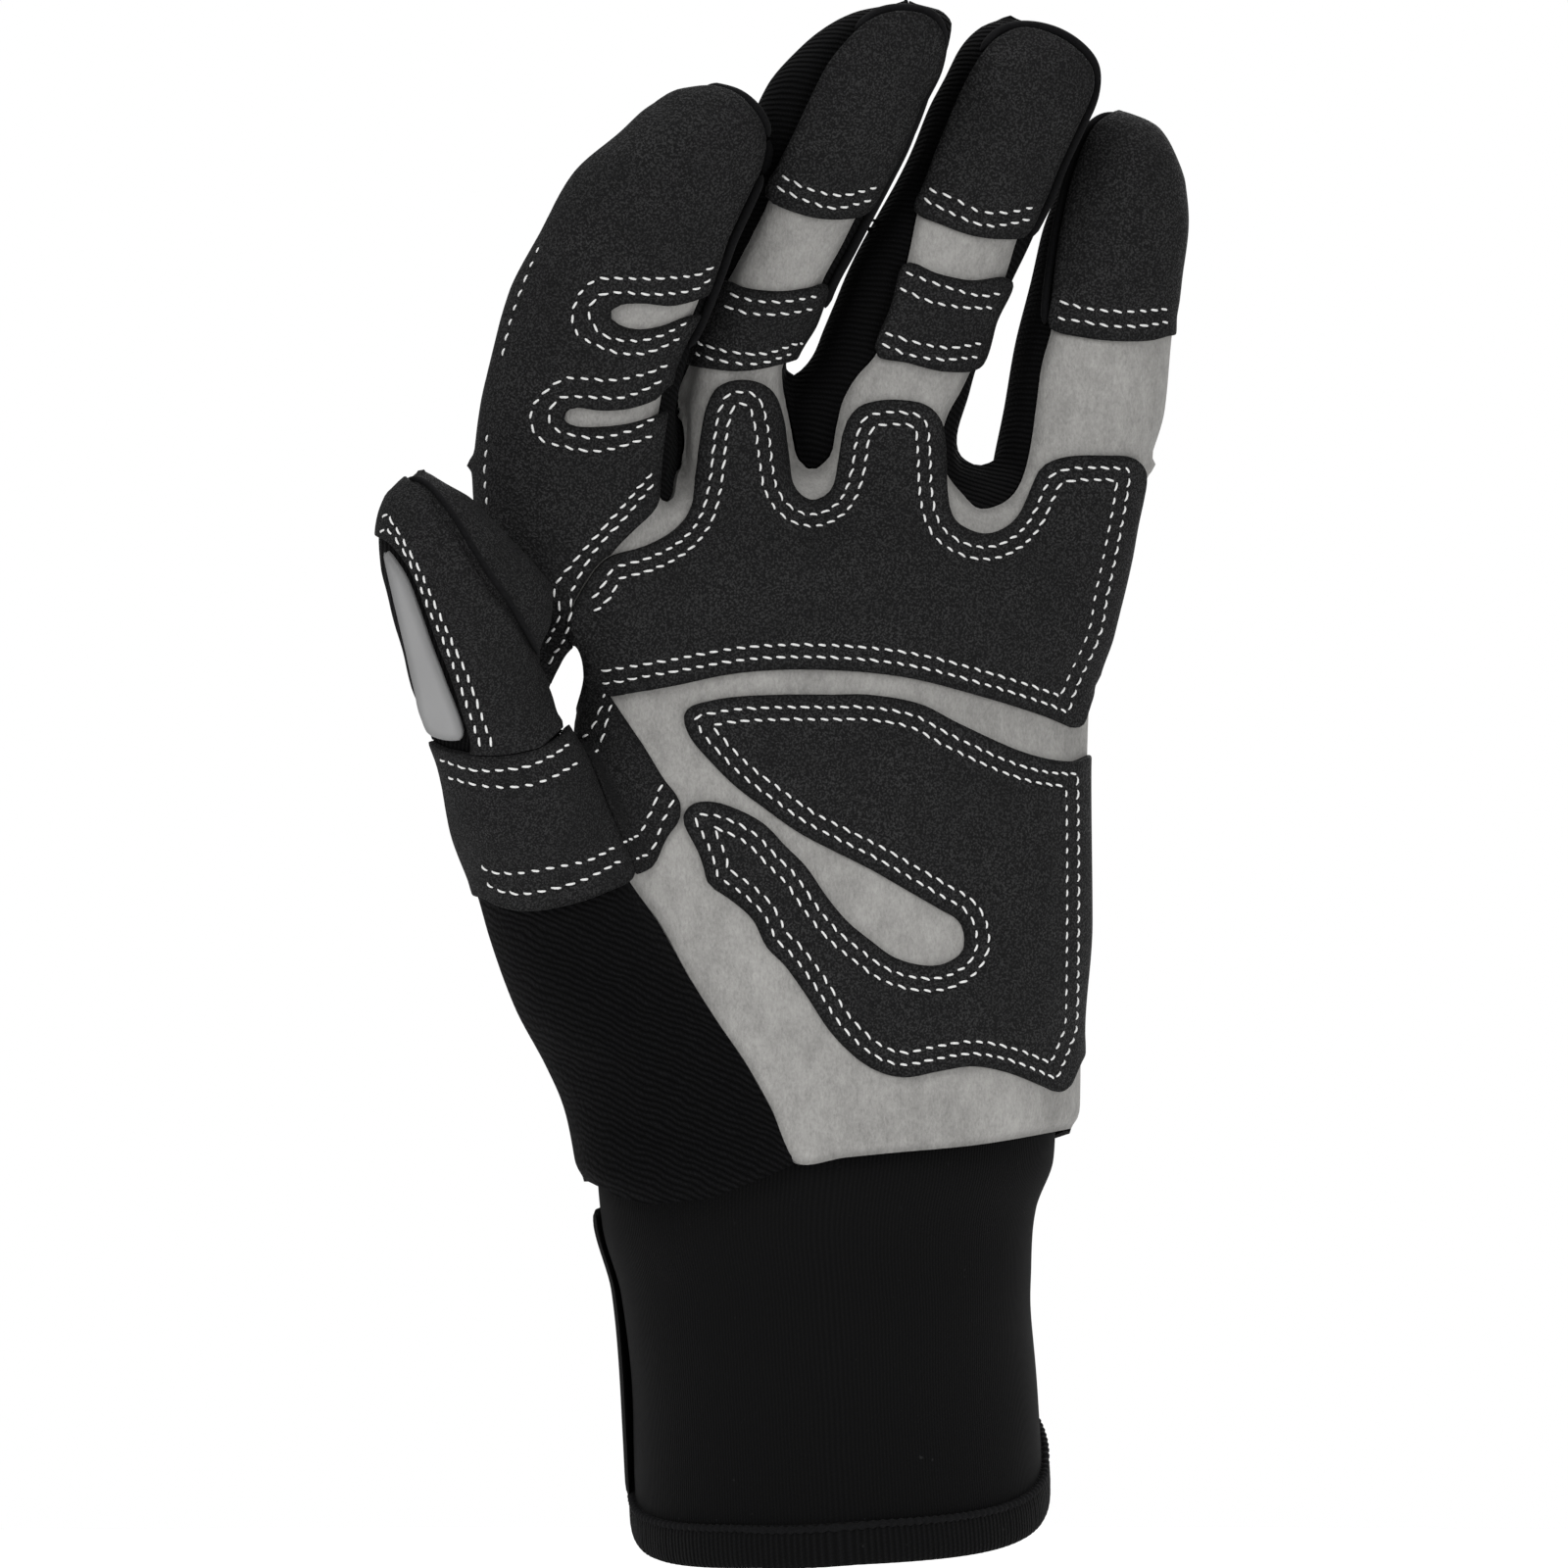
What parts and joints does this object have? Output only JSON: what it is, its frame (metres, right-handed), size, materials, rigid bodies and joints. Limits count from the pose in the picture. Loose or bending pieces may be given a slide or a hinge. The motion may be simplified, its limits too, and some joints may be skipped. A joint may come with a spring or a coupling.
{
  "type": "mechanic glove",
  "caption": "Left-hand work glove in its worn form: suede palm with stitched dark reinforcements, ribbed side strips and a long plain cuff with a bound hem.",
  "frame": {"origin": "centre of the cuff's opening at the hem, where a wrist enters", "axes": "+Z along the hand from the hem to the fingertips, palm towards -Y, thumb towards -X"},
  "size_m": [0.1401, 0.1065, 0.2722],
  "materials": {
    "gray_suede": "napped synthetic suede",
    "dark_leather": "pebbled matte synthetic leather",
    "black_stretch": "matte stretch knit",
    "black_rib": "ribbed knit",
    "black_knit": "terry-like knit",
    "cuff_fabric": "fine ribbed smooth knit",
    "gray_insert": "smooth flat reflective cloth"
  },
  "bodies": {
    "root": {"palm_panel": "gray_suede", "back_panel": "black_stretch", "fourchette_index_middle": "black_rib", "fourchette_middle_ring": "black_rib", "fourchette_ring_little": "black_rib", "thumb_knit_panel": "black_knit", "thumb_inner": "dark_leather", "thumb_outer": "black_rib", "thumb_back": "black_stretch", "thumb_patch": "dark_leather", "thumb_insert": "gray_insert", "saddle_band_outer": "dark_leather", "saddle_band_inner": "dark_leather", "index_patch": "dark_leather", "middle_tip_patch": "dark_leather", "middle_band": "dark_leather", "ring_tip_patch": "dark_leather", "ring_band": "dark_leather", "little_tip_patch": "dark_leather", "knuckle_patch": "dark_leather", "heel_patch": "dark_leather", "cuff_sleeve": "cuff_fabric", "wrist_tab": "cuff_fabric", "hem_binding": "black_rib"}
  },
  "joints": []
}
